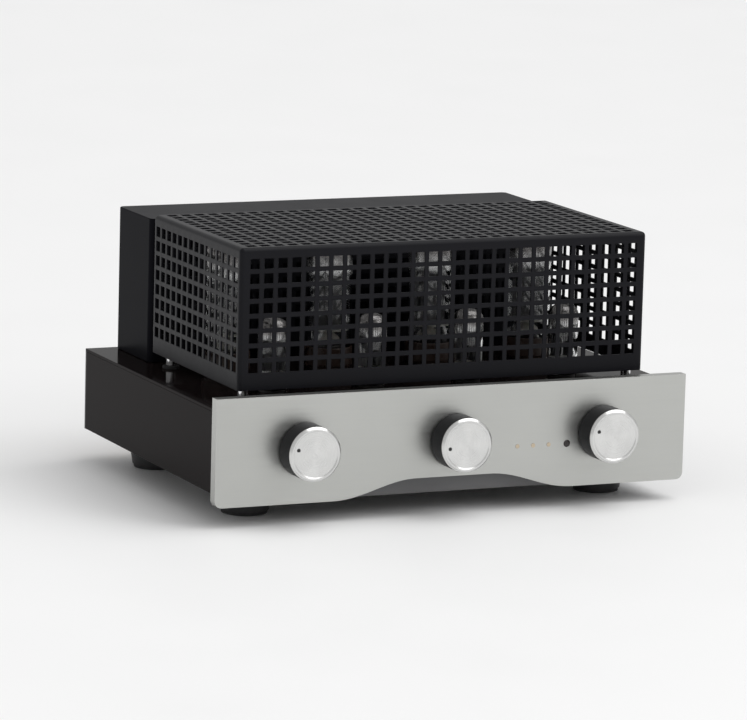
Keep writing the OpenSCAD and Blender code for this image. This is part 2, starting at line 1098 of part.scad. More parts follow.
module phono_inserts() {
    tail = 8;
    end_inset = 1;
    centre_r = 1.6;
    color("whitesmoke")
        for (x = phono_x, z = phono_z)
            facing_rear(x, rear_in - tail, z)
                difference() {
                    cylinder(r = phono_bore_r, h = tail + sheet_t + phono_reach - end_inset);
                    translate([0, 0, tail])
                        cylinder(r = centre_r, h = sheet_t + phono_reach);
                }
}

module inlet_pin_row(play) {
    blade = [2, 27.4, 4];
    tail = 6;
    tail_y = rear_y - inlet_depth - tail;
    for (p = pin_at)
        translate([inlet_x + p[0] - blade[0] / 2 - play, tail_y, p[1] - blade[2] / 2 - play])
            cube([blade[0] + 2 * play, blade[1], blade[2] + 2 * play]);
}

module mains_inlet() {
    flange = [50, 44];
    flange_corner_r = 4;
    drawer_depth = 21;
    color("#161616")
        difference() {
            union() {
                slab_xz(rear_y, flange_t)
                    translate([inlet_x, inlet_z])
                        rounded_rect(flange[0], flange[1], flange_corner_r);
                translate([inlet_x - inlet_w / 2, rear_y - inlet_depth, inlet_z - inlet_h / 2])
                    cube([inlet_w, inlet_depth, inlet_h]);
            }
            slab_xz(rear_y + flange_t - cavity_depth, cavity_depth + over)
                translate([inlet_x, inlet_cavity_z])
                    square([inlet_cavity_w, inlet_cavity_h], center = true);
            slab_xz(rear_y - drawer_depth, drawer_depth + flange_t + over)
                translate([inlet_x, drawer_z])
                    square([drawer_w + 2 * drawer_play, drawer_h + 2 * drawer_play], center = true);
            inlet_pin_row(fit);
        }
}

module inlet_pins() {
    color("silver")
        inlet_pin_row(0);
}

module fuse_drawer() {
    tray_d = 20;
    tray_wall = 1.2;
    back_wall = 1.5;
    lip = [drawer_w + 2, drawer_h + 1.6, 1.5];
    lip_t = 1.6;
    lip_y = rear_y + flange_t + drawer_play;
    tray_x = inlet_x - drawer_w / 2;
    tray_z = drawer_z - drawer_h / 2;
    color("#202022")
        difference() {
            union() {
                translate([tray_x, lip_y - tray_d, tray_z])
                    cube([drawer_w, tray_d, drawer_h]);
                slab_xz(lip_y, lip_t)
                    translate([inlet_x, drawer_z])
                        rounded_rect(lip[0], lip[1], lip[2]);
            }
            translate([tray_x + tray_wall, lip_y - tray_d + back_wall, tray_z + tray_wall])
                cube([drawer_w - 2 * tray_wall, tray_d - back_wall - 2, drawer_h]);
        }
}

faceplate();
sub_front();
top_plate();
left_side();
right_side();
rear_panel();
base_plate();
corner_posts();
case_screws();
foot_bodies();
foot_rings();
foot_pads();
foot_screws();
power_knob();
volume_knob();
selector_knob();
power_shaft();
volume_shaft();
selector_shaft();
power_switch();
volume_pot();
selector_switch();
shaft_nuts();
indicator_leds();
ir_window();
front_board();
main_board();
board_standoffs();
filter_capacitors();
power_valves();
power_valve_bases();
power_valve_plates();
power_sockets();
signal_valves();
signal_valve_plates();
signal_sockets();
cage_front();
cage_rear();
cage_left();
cage_right();
cage_top();
cage_feet();
cage_bushes();
transformer_cover();
power_transformer();
left_output_transformer();
right_output_transformer();
speaker_cap_1();
speaker_cap_2();
speaker_cap_3();
speaker_cap_4();
speaker_cap_5();
speaker_cap_6();
speaker_posts();
speaker_insulators();
phono_sockets();
phono_inserts();
mains_inlet();
inlet_pins();
fuse_drawer();
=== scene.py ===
import json
import math

import bmesh
import bpy
from mathutils import Matrix, Vector


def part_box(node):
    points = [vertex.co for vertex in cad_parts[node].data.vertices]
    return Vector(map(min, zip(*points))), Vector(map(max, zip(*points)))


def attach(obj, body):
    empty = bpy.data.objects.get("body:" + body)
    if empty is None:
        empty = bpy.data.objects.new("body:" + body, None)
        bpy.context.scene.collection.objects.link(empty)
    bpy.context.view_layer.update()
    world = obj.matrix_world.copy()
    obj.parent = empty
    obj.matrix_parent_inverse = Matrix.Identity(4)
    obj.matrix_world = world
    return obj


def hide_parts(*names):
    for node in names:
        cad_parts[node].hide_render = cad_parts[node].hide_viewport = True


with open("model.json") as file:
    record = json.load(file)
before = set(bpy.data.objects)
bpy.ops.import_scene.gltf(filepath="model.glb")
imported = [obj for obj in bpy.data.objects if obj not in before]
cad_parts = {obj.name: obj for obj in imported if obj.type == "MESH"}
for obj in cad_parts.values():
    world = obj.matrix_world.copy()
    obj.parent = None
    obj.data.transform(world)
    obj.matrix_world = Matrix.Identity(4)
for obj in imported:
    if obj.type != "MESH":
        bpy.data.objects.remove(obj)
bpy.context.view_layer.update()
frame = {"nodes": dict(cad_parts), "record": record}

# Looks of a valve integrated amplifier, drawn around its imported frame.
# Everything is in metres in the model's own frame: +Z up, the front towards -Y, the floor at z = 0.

MM = 0.001
SLOTS = {part["node"]: part["material_slot"] for part in frame["record"]["subparts"]}


# ---- Materials ----

class Finish:
    """A Principled material, with short calls for the nodes that give it grain, wear and relief."""

    def __init__(self, name, color, roughness, metallic=0.0, extra=None):
        self.material = bpy.data.materials.new(name)
        self.material.use_nodes = True
        self.tree = self.material.node_tree
        self.shader = self.tree.nodes["Principled BSDF"]
        self.relief = None
        self.set("Base Color", (*color, 1))
        self.set("Roughness", roughness)
        self.set("Metallic", metallic)
        for socket, value in (extra or {}).items():
            self.set(socket, value)

    def plug(self, value, socket):
        if isinstance(value, bpy.types.NodeSocket):
            self.tree.links.new(value, socket)
        else:
            socket.default_value = value

    def set(self, socket, value):
        """Gives a socket of the shader a value, or links a node's output to it."""
        self.plug(value, self.shader.inputs[socket])

    def node(self, kind, inputs, out=0, **settings):
        """Adds a node with these settings and inputs, and returns one of its outputs."""
        made = self.tree.nodes.new("ShaderNode" + kind)
        for key, value in settings.items():
            setattr(made, key, value)
        for key, value in inputs.items():
            self.plug(value, made.inputs[key])
        return made.outputs[out]

    def place(self, stretch=(1, 1, 1), centre=(0, 0, 0)):
        """Object coordinates about a centre, each axis times its stretch."""
        here = self.node("TexCoord", {}, out=3)
        moved = self.node("VectorMath", {0: here, 1: centre}, operation="SUBTRACT")
        return self.node("VectorMath", {0: moved, 1: stretch}, operation="MULTIPLY")

    def along(self, axis, stretch=1.0):
        """One object coordinate, 0 for X to 2 for Z, times its stretch."""
        value = self.node("SeparateXYZ", {0: self.place()}, out=axis)
        return self.math("MULTIPLY", value, stretch)

    def math(self, operation, a, b=0.0):
        return self.node("Math", {0: a, 1: b}, operation=operation)

    def noise(self, scale, stretch=(1, 1, 1), detail=3.0):
        """Soft noise from 0 to 1 with about scale features in a metre."""
        return self.node("TexNoise", {"Vector": self.place(stretch), "Scale": scale, "Detail": detail})

    def cells(self, scale, stretch=(1, 1, 1), feature="F1"):
        """Distance to the nearest of scattered points, for pits and specks."""
        return self.node("TexVoronoi", {"Vector": self.place(stretch), "Scale": scale}, feature=feature)

    def remap(self, value, low, high, start=0.3, end=0.7):
        """Value from start to end, spread between low and high."""
        inputs = {"Value": value, "From Min": start, "From Max": end, "To Min": low, "To Max": high}
        return self.node("MapRange", inputs)

    def tint(self, share, a, b):
        """Colour a where share is 0, and b where it is 1."""
        inputs = {0: share}
        for index, value in ((6, a), (7, b)):
            inputs[index] = value if isinstance(value, bpy.types.NodeSocket) else (*value, 1)
        return self.node("Mix", inputs, out=2, data_type="RGBA")

    def bump(self, height, depth, strength=1.0):
        """Raises the surface by height times depth, on top of the relief that it has."""
        inputs = {"Height": height, "Distance": depth, "Strength": strength}
        if self.relief is not None:
            inputs["Normal"] = self.relief
        self.relief = self.node("Bump", inputs)
        self.set("Normal", self.relief)

    def edges(self, radius):
        """1 at convex and concave edges, falling to 0 at this distance from them."""
        rounded = self.node("Bevel", {"Radius": radius}, samples=4)
        straight = self.node("NewGeometry", {}, out=1)
        alike = self.node("VectorMath", {0: rounded, 1: straight}, out=1, operation="DOT_PRODUCT")
        return self.remap(alike, 0.0, 1.0, start=0.995, end=0.9)


def silver_faceplate():
    """Aluminium blasted fine, brushed lightly from left to right and anodised."""
    f = Finish("silver_faceplate", (0.49, 0.495, 0.475), 0.36, metallic=1.0)
    brush = f.noise(900, stretch=(0.03, 1, 1), detail=4)
    cloud = f.noise(14, detail=5)
    f.set("Base Color", f.tint(cloud, (0.475, 0.48, 0.46), (0.53, 0.535, 0.515)))
    f.set("Roughness", f.remap(brush, 0.32, 0.42))
    f.bump(f.noise(2400, detail=2), 0.012 * MM)
    f.bump(brush, 0.006 * MM)
    return f.material


def bright_cut():
    """The faceplate's bevels, cut bright after anodising."""
    f = Finish("bright_cut", (0.80, 0.80, 0.78), 0.20, metallic=1.0)
    f.set("Roughness", f.remap(f.noise(500, stretch=(0.1, 1, 1)), 0.16, 0.26))
    return f.material


def polished_knob(knob):
    """A face turned in fine rings and polished, in front of a dark anodised grip."""
    low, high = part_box(knob)
    centre = (low + high) / 2
    lip = low.y + 1.9 * MM
    across_grooves = {"Anisotropic": 0.75, "Anisotropic Rotation": 0.25}
    f = Finish("polished_" + knob, (0.72, 0.72, 0.71), 0.3, metallic=1.0, extra=across_grooves)
    flat = f.place(stretch=(1, 0, 1), centre=centre)
    radius = f.node("VectorMath", {0: flat}, out=1, operation="LENGTH")
    rings = f.node("TexNoise", {"W": radius, "Scale": 2600, "Detail": 3}, noise_dimensions="1D")
    swirl = f.noise(90, detail=3)
    grip = f.remap(f.along(1), 0, 1, start=lip, end=lip + 0.2 * MM)
    ribs = f.node("TexNoise", {"W": f.along(1), "Scale": 1500}, noise_dimensions="1D")
    face = f.tint(swirl, (0.62, 0.62, 0.61), (0.76, 0.76, 0.75))
    f.set("Base Color", f.tint(grip, face, (0.028, 0.028, 0.031)))
    f.set("Roughness", f.math("ADD", f.remap(rings, 0.24, 0.34), f.math("MULTIPLY", grip, 0.06)))
    f.set("Tangent", f.node("Tangent", {}, direction_type="RADIAL", axis="Y"))
    f.bump(rings, 0.004 * MM)
    f.bump(swirl, 0.05 * MM)
    f.bump(f.math("MULTIPLY", ribs, grip), 0.03 * MM)
    return f.material


def lacquer(name, color, peel, roughness):
    """Gloss paint with a little orange peel and some dust."""
    f = Finish(name, color, roughness, extra={"Specular IOR Level": 0.02})
    dust = f.noise(60, detail=8)
    speck = f.remap(f.cells(420), 1, 0, start=0.0, end=0.12)
    f.set("Roughness", f.remap(dust, roughness, roughness * 2.4))
    f.set("Base Color", f.tint(f.math("MULTIPLY", speck, dust), color, [c * 3 + 0.02 for c in color]))
    f.bump(f.noise(240, detail=2), peel)
    return f.material


def powder_coat(name, color, roughness, grain=1300, depth=0.05 * MM, specular=0.4):
    """Sprayed and baked paint: fine soft grain with a faint drift in its shade."""
    f = Finish(name, color, roughness, extra={"Specular IOR Level": specular})
    cloud = f.noise(30, detail=4)
    f.set("Base Color", f.tint(cloud, color, [c * 1.2 for c in color]))
    f.set("Roughness", f.remap(cloud, roughness - 0.015, roughness + 0.02))
    f.bump(f.noise(grain, detail=2), depth)
    return f.material


def drawn_metal(name, color, roughness, stretch=(1, 1, 0.05), scale=900):
    """Bare or plated metal with fine drawn scratches and faint stains."""
    f = Finish(name, color, roughness, metallic=1.0)
    scratch = f.noise(scale, stretch=stretch, detail=3)
    stain = f.noise(70, detail=4)
    f.set("Base Color", f.tint(stain, [c * 0.82 for c in color], color))
    f.set("Roughness", f.remap(scratch, roughness * 0.75, roughness * 1.35))
    f.bump(scratch, 0.01 * MM)
    return f.material


def moulded(name, color, roughness, grain=1800, depth=0.02 * MM):
    """Moulded plastic with a fine spark-eroded texture."""
    f = Finish(name, color, roughness)
    cloud = f.noise(120, detail=3)
    f.set("Base Color", f.tint(cloud, color, [c * 1.25 + 0.002 for c in color]))
    f.set("Roughness", f.remap(cloud, roughness * 0.85, min(1, roughness * 1.2)))
    f.bump(f.noise(grain, detail=2), depth)
    return f.material


def rubber():
    f = Finish("black_rubber", (0.018, 0.018, 0.019), 0.8)
    f.set("Roughness", f.remap(f.noise(300), 0.7, 0.95))
    f.set("Base Color", f.tint(f.noise(90, detail=5), (0.014, 0.014, 0.015), (0.03, 0.03, 0.031)))
    f.bump(f.noise(2500), 0.05 * MM)
    return f.material


def phenolic():
    """Laminated paper board, brown and mottled."""
    f = Finish("phenolic", (0.40, 0.26, 0.13), 0.45)
    fibre = f.noise(500, stretch=(1, 4, 1), detail=5)
    f.set("Base Color", f.tint(fibre, (0.30, 0.18, 0.08), (0.48, 0.33, 0.18)))
    f.bump(fibre, 0.02 * MM)
    return f.material


def circuit_board():
    """Green solder resist over copper tracks."""
    f = Finish("circuit_board", (0.02, 0.12, 0.05), 0.32)
    tracks = f.node("TexBrick", {
        "Vector": f.place(stretch=(1, 1, 1)), "Scale": 110, "Mortar Size": 0.09, "Mortar Smooth": 0.1,
        "Color1": (0, 0, 0, 1), "Color2": (0.3, 0.3, 0.3, 1), "Mortar": (1, 1, 1, 1)})
    f.set("Base Color", f.tint(tracks, (0.015, 0.09, 0.035), (0.05, 0.22, 0.09)))
    f.bump(tracks, 0.03 * MM)
    return f.material


def laminations():
    """Varnished iron sheets on edge."""
    f = Finish("core_iron", (0.06, 0.058, 0.055), 0.45, metallic=0.4)
    sheets = f.node("TexNoise", {"W": f.along(1), "Scale": 1800}, noise_dimensions="1D")
    f.set("Base Color", f.tint(sheets, (0.035, 0.033, 0.032), (0.09, 0.085, 0.08)))
    f.bump(sheets, 0.12 * MM)
    return f.material


def sleeve():
    """Shrunk plastic sleeve of a capacitor, with a pale stripe down one side."""
    f = Finish("capacitor_sleeve", (0.016, 0.022, 0.06), 0.25, extra={"Coat Weight": 0.3})
    low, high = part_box("filter_capacitors")
    stripe = f.remap(f.along(1), 0, 1, start=high.y - 2.5 * MM, end=high.y - 2 * MM)
    shade = f.tint(f.noise(200), (0.014, 0.02, 0.055), (0.02, 0.028, 0.075))
    f.set("Base Color", f.tint(stripe, shade, (0.5, 0.52, 0.55)))
    f.bump(f.noise(350, detail=2), 0.05 * MM)
    return f.material


def lens(name, color, glow=0.0, clear=0.35, coat=0.5):
    """Tinted clear plastic."""
    f = Finish(name, color, 0.12, extra={"Transmission Weight": clear, "Coat Weight": coat})
    f.set("Roughness", f.remap(f.noise(600), 0.08, 0.2))
    f.bump(f.noise(900), 0.01 * MM)
    if glow:
        f.set("Emission Color", (*color, 1))
        f.set("Emission Strength", glow)
    return f.material


def valve_glass(valves, flash):
    """Clear glass, silvered by the getter over the top flash metres of each valve."""
    low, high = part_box(valves)
    f = Finish("glass_of_" + valves, (0.97, 0.98, 0.98), 0.02, extra={"IOR": 1.48})
    height = f.math("ADD", f.along(2), f.math("MULTIPLY", f.noise(160, detail=2), 4 * MM))
    silver = f.remap(height, 0, 1, start=high.z - flash, end=high.z - 0.55 * flash)
    shade = f.tint(f.noise(300), (0.10, 0.095, 0.10), (0.32, 0.31, 0.30))
    f.set("Base Color", f.tint(silver, (0.97, 0.98, 0.98), shade))
    f.set("Metallic", silver)
    f.set("Roughness", f.remap(silver, 0.015, 0.16, start=0, end=1))
    f.set("Transmission Weight", f.remap(silver, 1, 0, start=0, end=1))
    f.bump(f.noise(130, detail=1), 0.03 * MM)
    return f.material


def mica():
    """Thin mica discs: milky, flaky and a little clear."""
    f = Finish("mica", (0.72, 0.70, 0.66), 0.35, extra={"Transmission Weight": 0.3})
    flakes = f.cells(260)
    f.set("Base Color", f.tint(flakes, (0.78, 0.76, 0.72), (0.56, 0.53, 0.48)))
    f.bump(flakes, 0.03 * MM)
    return f.material


def carbonised():
    """Grey carbon-coated nickel of the anodes."""
    f = Finish("valve_metal", (0.09, 0.09, 0.093), 0.5, metallic=0.7)
    soot = f.noise(220, detail=5)
    f.set("Base Color", f.tint(soot, (0.06, 0.06, 0.062), (0.15, 0.15, 0.153)))
    f.set("Roughness", f.remap(soot, 0.4, 0.65))
    f.bump(f.noise(1600), 0.03 * MM)
    return f.material


def enamel(name, color):
    """Paint filled into a mark or printed on a panel."""
    f = Finish(name, color, 0.4)
    f.set("Roughness", f.remap(f.noise(700), 0.3, 0.5))
    f.bump(f.noise(1200), 0.02 * MM)
    return f.material


def pale_floor():
    f = Finish("pale_floor", (0.86, 0.86, 0.86), 0.55, extra={"Specular IOR Level": 0.2})
    f.set("Roughness", f.remap(f.noise(8), 0.5, 0.62))
    return f.material


FINISHES = {
    "silver_faceplate": silver_faceplate(),
    "gloss_black": lacquer("gloss_black", (0.0085, 0.0062, 0.0062), 0.008 * MM, 0.06),
    # The sub-front is gloss black steel; this mid grey is painted reflection, the floor light its gloss
    # would show through the arch.
    "sub_front_grey": powder_coat("sub_front_grey", (0.10, 0.10, 0.102), 0.4),
    "satin_black": powder_coat("satin_black", (0.028, 0.028, 0.029), 0.42),
    "cage_black": powder_coat("cage_black", (0.0075, 0.0075, 0.0095), 0.36, specular=0.1),
    "cover_black": powder_coat(
        "cover_black", (0.006, 0.006, 0.008), 0.3, grain=800, depth=0.03 * MM, specular=0.012
    ),
    "plain_aluminium": drawn_metal("plain_aluminium", (0.62, 0.62, 0.63), 0.38),
    "zinc_steel": drawn_metal("zinc_steel", (0.55, 0.56, 0.57), 0.3, stretch=(1, 0.2, 1)),
    "bright_chrome": drawn_metal("bright_chrome", (0.82, 0.82, 0.83), 0.07, stretch=(1, 1, 4)),
    "foot_plastic": moulded("foot_plastic", (0.02, 0.02, 0.021), 0.45),
    "black_rubber": rubber(),
    "switch_plastic": moulded("switch_plastic", (0.045, 0.045, 0.05), 0.5),
    "phenolic": phenolic(),
    "pot_metal": drawn_metal("pot_metal", (0.5, 0.51, 0.52), 0.35),
    "led_lens": lens("led_lens", (0.80, 0.66, 0.48)),
    "ir_window": lens("ir_window", (0.01, 0.004, 0.004), clear=0.05, coat=0.1),
    "circuit_board": circuit_board(),
    "brass": drawn_metal("brass", (0.74, 0.54, 0.24), 0.28),
    "gold_plate": drawn_metal("gold_plate", (0.93, 0.68, 0.30), 0.16, stretch=(1, 1, 1)),
    "capacitor_sleeve": sleeve(),
    "valve_base": moulded("valve_base", (0.028, 0.017, 0.013), 0.3, grain=900),
    "valve_metal": carbonised(),
    "socket_black": moulded("socket_black", (0.016, 0.015, 0.014), 0.33, grain=1100),
    "core_iron": laminations(),
    "cap_red": moulded("cap_red", (0.42, 0.012, 0.012), 0.28, grain=700),
    "cap_black": moulded("cap_black", (0.012, 0.012, 0.013), 0.28, grain=700),
    "insert_white": moulded("insert_white", (0.80, 0.80, 0.77), 0.35),
    "inlet_plastic": moulded("inlet_plastic", (0.016, 0.016, 0.017), 0.42),
}
KNOBS = {"power_knob": "power_control", "volume_knob": "volume_control", "selector_knob": "selector_control"}
GETTER_FLASH = {"power_valves": 30 * MM, "signal_valves": 15 * MM}


def paint_frame():
    """Gives every CAD node its procedural material."""
    for name, node in frame["nodes"].items():
        if name in KNOBS:
            material = polished_knob(name)
        elif name in GETTER_FLASH:
            material = valve_glass(name, GETTER_FLASH[name])
        else:
            material = FINISHES[SLOTS[name]]
        node.data.materials.clear()
        node.data.materials.append(material)


# ---- Edges of the CAD nodes ----

def soften(name, width, segments=2, cut=None):
    """Breaks the sharp edges of a CAD node with modifiers, its own mesh unchanged."""
    node = frame["nodes"][name]
    weld = node.modifiers.new("weld", "WELD")
    weld.merge_threshold = 0.001 * MM
    flat = node.modifiers.new("flat", "DECIMATE")
    flat.decimate_type = "DISSOLVE"
    flat.angle_limit = math.radians(0.4)
    bevel = node.modifiers.new("bevel", "BEVEL")
    bevel.width = width
    bevel.segments = segments
    bevel.limit_method = "ANGLE"
    bevel.angle_limit = math.radians(32)
    if cut is not None:
        node.data.materials.append(cut)
        bevel.material = 1
    node.modifiers.new("normals", "WEIGHTED_NORMAL")


# Width in millimetres of the broken edges of each node.
EDGES = {
    "top_plate": 0.5, "left_side": 0.4, "right_side": 0.4, "rear_panel": 0.4,
    "base_plate": 0.3, "sub_front": 0.3,
    "transformer_cover": 0.9, "cage_feet": 0.25, "foot_bodies": 0.5, "foot_rings": 0.5, "foot_pads": 0.4,
    "power_knob": 0.25, "volume_knob": 0.25, "selector_knob": 0.25, "case_screws": 0.25,
    "speaker_insulators": 0.4, "phono_sockets": 0.2, "phono_inserts": 0.2,
    "mains_inlet": 0.4, "fuse_drawer": 0.3,
    "inlet_pins": 0.4, "power_valve_bases": 0.6, "cage_bushes": 0.3, "speaker_posts": 0.25,
}


def soften_frame():
    soften("faceplate", 1.1 * MM, segments=1, cut=bright_cut())
    for name, width in EDGES.items():
        soften(name, width * MM)


# ---- Mesh helpers ----

def finish_piece(name, mesh, material, body, sharp=35):
    """Makes an object of a bmesh, smooth but for its sharp edges, and lets it ride on a body."""
    bmesh.ops.remove_doubles(mesh, verts=mesh.verts, dist=0.001 * MM)
    bmesh.ops.recalc_face_normals(mesh, faces=mesh.faces)
    data = bpy.data.meshes.new(name)
    mesh.to_mesh(data)
    mesh.free()
    data.shade_smooth()
    data.set_sharp_from_angle(angle=math.radians(sharp))
    data.materials.append(material)
    piece = bpy.data.objects.new(name, data)
    bpy.context.scene.collection.objects.link(piece)
    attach(piece, body)
    return piece


def around(radius, angle, height=0):
    """The point at this radius, angle and height about the z axis."""
    return Vector((radius * math.cos(angle), radius * math.sin(angle), height))


def turned(mesh, profile, at, steps=48, axis=Vector((0, 0, 1))):
    """Adds a closed outline of (radius, height) points turned about an axis through a point."""
    turn = axis.to_track_quat("Z", "Y").to_matrix().to_4x4()
    frame_at = Matrix.Translation(at) @ turn
    rings = []
    for i in range(steps):
        angle = 2 * math.pi * i / steps
        rings.append([mesh.verts.new(frame_at @ around(r, angle, h)) for r, h in profile])
    for i in range(steps):
        a, b = rings[i], rings[(i + 1) % steps]
        for j in range(len(profile)):
            k = (j + 1) % len(profile)
            if profile[j][0] + profile[k][0] > 0:
                mesh.faces.new((a[j], b[j], b[k], a[k]))


def extruded(mesh, outline, low, high, at=Vector((0, 0, 0))):
    """Adds a closed outline of (x, y) points, solid from height low to high."""
    bottom = [mesh.verts.new(at + Vector((x, y, low))) for x, y in outline]
    top = [mesh.verts.new(at + Vector((x, y, high))) for x, y in outline]
    mesh.faces.new(bottom)
    mesh.faces.new(list(reversed(top)))
    for i in range(len(outline)):
        j = (i + 1) % len(outline)
        mesh.faces.new((bottom[i], top[i], top[j], bottom[j]))


def slab(mesh, low, high):
    """Adds a straight box between two corners."""
    outline = [(low[0], low[1]), (high[0], low[1]), (high[0], high[1]), (low[0], high[1])]
    extruded(mesh, outline, low[2], high[2])


def wire(mesh, points, radius, sides=8, closed=False):
    """Adds a round wire along points."""
    points = [Vector(p) for p in points]
    rings = []
    count = len(points)
    for i, p in enumerate(points):
        before = points[i - 1] if i or closed else p
        after = points[(i + 1) % count] if i < count - 1 or closed else p
        turn = (after - before).to_track_quat("Z", "Y")
        ring = []
        for k in range(sides):
            angle = 2 * math.pi * k / sides
            ring.append(mesh.verts.new(p + turn @ around(radius, angle)))
        rings.append(ring)
    for i in range(count if closed else count - 1):
        a, b = rings[i], rings[(i + 1) % count]
        for k in range(sides):
            mesh.faces.new((a[k], a[(k + 1) % sides], b[(k + 1) % sides], b[k]))
    if not closed:
        mesh.faces.new(list(reversed(rings[0])))
        mesh.faces.new(rings[-1])


def circle(radius, steps=24, x=0.0, y=0.0):
    return [(x + radius * math.cos(2 * math.pi * i / steps), y + radius * math.sin(2 * math.pi * i / steps))
            for i in range(steps)]


def spread(count, pitch):
    """Places of count things at one pitch, centred on zero."""
    return [(i - (count - 1) / 2) * pitch for i in range(count)]


# ---- Front ----

POINTERS = {"power_knob": -74, "volume_knob": -98, "selector_knob": -72}


def knob_marks():
    """The dark enamel dot in each knob's pointer dimple."""
    black = enamel("mark_black", (0.012, 0.012, 0.012))
    for knob, angle in POINTERS.items():
        low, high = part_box(knob)
        centre = (low + high) / 2
        reach = 13 * MM
        turn = math.radians(angle)
        across = reach * math.sin(turn)
        up = reach * math.cos(turn)
        at = Vector((centre.x + across, low.y + 1.4 * MM, centre.z + up))
        mesh = bmesh.new()
        dome = [(0, 0), (1.25 * MM, 0), (1.25 * MM, 0.45 * MM), (0.8 * MM, 0.62 * MM), (0, 0.7 * MM)]
        turned(mesh, dome, at, steps=24, axis=Vector((0, -1, 0)))
        mark = finish_piece(knob + "_mark", mesh, black, KNOBS[knob])


# ---- Valves ----

def power_valve_insides():
    """Anodes with their fins, grid rods, getter rings and stems of the power valves."""
    low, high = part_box("power_valves")
    places = [Vector((x, (low.y + high.y) / 2, low.z)) for x in spread(4, (high.x - low.x - 32 * MM) / 3)]
    metal = bmesh.new()
    discs = bmesh.new()
    for at in places:
        anode(metal, at, 11 * MM, 6.4 * MM, 13 * MM, 60 * MM)
        for x in (-6.5, 6.5):
            for y in (-2.6, 2.6):
                wire(metal, [at + Vector((x * MM, y * MM, z * MM)) for z in (6, 69)], 0.55 * MM)
        for height in (11.5, 61.5):
            toothed_disc(discs, at, 14.2 * MM, height * MM)
        getter(metal, at + Vector((0, 0, 62 * MM)), 5 * MM, 10 * MM)
        stem = [(0, 0.8 * MM), (9 * MM, 0.8 * MM), (7.5 * MM, 5 * MM), (3.5 * MM, 8 * MM), (0, 8 * MM)]
        turned(discs, stem, at + Vector((0, 0, 1 * MM)), steps=32)
    plates = finish_piece("power_valve_anodes", metal, FINISHES["valve_metal"], "chassis")
    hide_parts("power_valve_plates")
    finish_piece("power_valve_micas", discs, mica(), "chassis")


def anode(mesh, at, half_x, half_y, low, high):
    """One flattened anode with a seam flange on each side and three pressed ribs."""
    outline = []
    steps = 32
    for i in range(steps):
        angle = 2 * math.pi * i / steps
        c, s = math.cos(angle), math.sin(angle)
        x = half_x * 0.82 * math.copysign(abs(c) ** 0.7, c)
        y = half_y * math.copysign(abs(s) ** 0.8, s)
        outline.append((x, y))
    inner = [(x * 0.93, y * 0.9) for x, y in outline]
    shell(mesh, outline, inner, low, high, at)
    for side in (-1, 1):
        edge = sorted((side * half_x * 0.78, side * half_x * 1.12))
        slab(mesh, at + Vector((edge[0], -0.35 * MM, low)), at + Vector((edge[1], 0.35 * MM, high)))
    for share in (0.2, 0.5, 0.8):
        z = low + (high - low) * share
        band = [(x * 1.03, y * 1.05) for x, y in outline]
        shell(mesh, band, inner, z - 0.9 * MM, z + 0.9 * MM, at)


def shell(mesh, outer, inner, low, high, at):
    """Adds a tube between two outlines that have the same number of points."""
    loops = []
    for outline, z in ((outer, low), (outer, high), (inner, high), (inner, low)):
        loops.append([mesh.verts.new(at + Vector((x, y, z))) for x, y in outline])
    count = len(outer)
    for k in range(4):
        a, b = loops[k], loops[(k + 1) % 4]
        for i in range(count):
            j = (i + 1) % count
            mesh.faces.new((a[i], a[j], b[j], b[i]))


def toothed_disc(mesh, at, radius, height):
    """A mica disc with small teeth that brace it against the glass."""
    teeth = 20
    outline = []
    for i in range(teeth * 2):
        r = radius if i % 2 else radius * 0.93
        angle = math.pi * i / teeth
        outline.append((r * math.cos(angle), r * math.sin(angle)))
    extruded(mesh, outline, height, height + 0.35 * MM, at)


def getter(mesh, at, radius, rise):
    """A getter ring on its stalk."""
    wire(mesh, [at + Vector((radius, 0, 0)), at + Vector((radius, 0, rise))], 0.4 * MM)
    ring = [at + Vector((x, y, rise)) for x, y in circle(radius)]
    wire(mesh, ring, 0.7 * MM, closed=True)


def signal_valve_insides():
    """Twin anodes, discs and getter rings of the signal valves."""
    low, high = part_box("signal_valves")
    places = [Vector((x, (low.y + high.y) / 2, low.z)) for x in spread(4, (high.x - low.x - 21.4 * MM) / 3)]
    metal = bmesh.new()
    discs = bmesh.new()
    for at in places:
        for x in (-4.6, 4.6):
            anode(metal, at + Vector((x * MM, 0, 0)), 3.6 * MM, 3.6 * MM, 12.5 * MM, 33 * MM)
            wire(metal, [at + Vector((x * MM, 0, z * MM)) for z in (4, 38)], 0.5 * MM)
        for height in (11, 34):
            toothed_disc(discs, at, 9.1 * MM, height * MM)
        getter(metal, at + Vector((0, 0, 34.5 * MM)), 3 * MM, 5 * MM)
    plates = finish_piece("signal_valve_anodes", metal, FINISHES["valve_metal"], "chassis")
    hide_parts("signal_valve_plates")
    finish_piece("signal_valve_micas", discs, mica(), "chassis")


# ---- Cage ----

CAGE_PANELS = ("cage_front", "cage_rear", "cage_left", "cage_right", "cage_top")
CAGE_PITCH = 10.2 * MM
CAGE_HOLE = 7 * MM
CAGE_SHEET = 1.2 * MM
CAGE_FOLD = 3 * MM
CAGE_LOWEST_ROW = 15.5 * MM
CAGE_COLUMNS = 29
CAGE_ROWS_DEEP = 15
CAGE_ROWS_HIGH = 8
FOLD_STEPS = 5


def hole_edges(first, count):
    """Both edges of each hole in a row, from the middle of the first."""
    return [first + i * CAGE_PITCH + side * CAGE_HOLE / 2 for i in range(count) for side in (-1, 1)]


def hole_lines(low, high, count):
    """The lines of a grid from low to high with a centred row of holes."""
    first = (low + high - (count - 1) * CAGE_PITCH) / 2
    return [low, *hole_edges(first, count), high]


